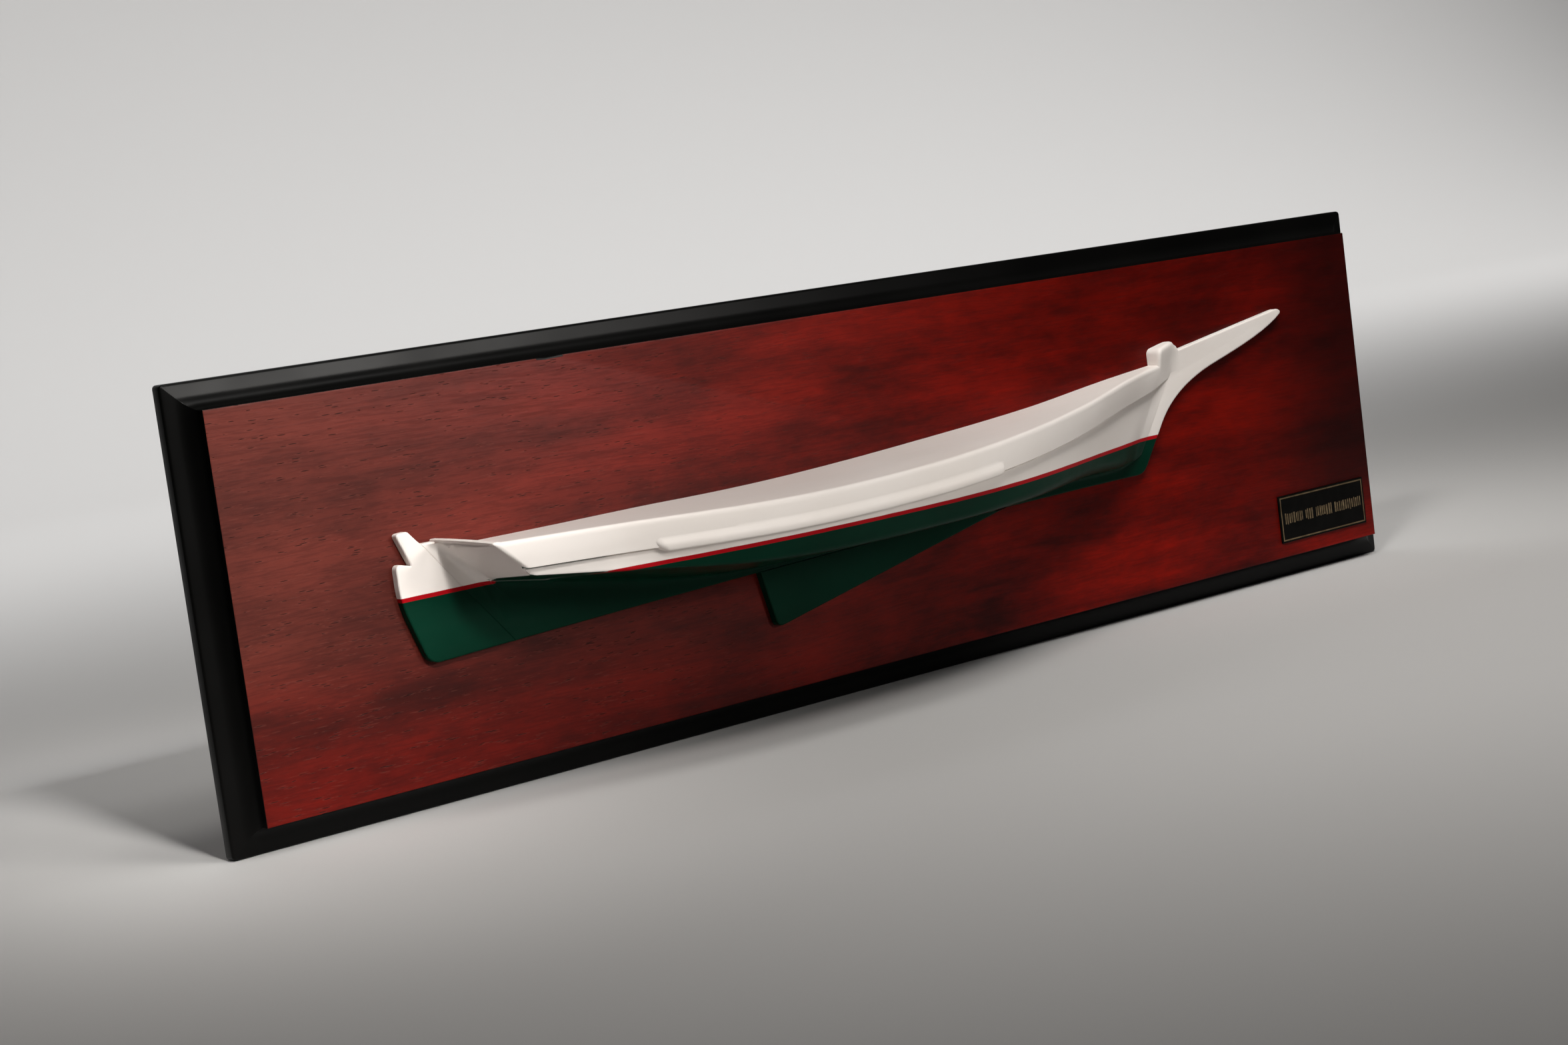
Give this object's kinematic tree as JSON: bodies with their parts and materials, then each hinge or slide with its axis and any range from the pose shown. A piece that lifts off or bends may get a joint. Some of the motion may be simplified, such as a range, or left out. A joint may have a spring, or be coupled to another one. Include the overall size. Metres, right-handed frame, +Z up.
{
  "type": "ship half hull model",
  "caption": "Painted half hull model of a shallow centreboard sloop with rudder and longhead, fixed to a stained wooden backboard with a moulded black edge, made to hang on a wall.",
  "frame": {"origin": "centre of the backboard's flat back face, where it lies against the wall", "axes": "+X along the board towards the bow, +Y into the wall, +Z up; the model faces -Y"},
  "size_m": [0.915, 0.1213, 0.248],
  "materials": {
    "stained_board": "red stained mahogany under a satin varnish, its moulded edge painted satin black",
    "hull_paint": "satin white paint above a red waterline stripe, dark green below it",
    "bottom_paint": "satin dark green paint",
    "plate": "blackened brass with a bright engraved border"
  },
  "bodies": {
    "root": {"backboard": "stained_board", "half_hull": "hull_paint", "rudder": "hull_paint", "centreboard": "bottom_paint", "name_plate": "plate"}
  },
  "joints": []
}
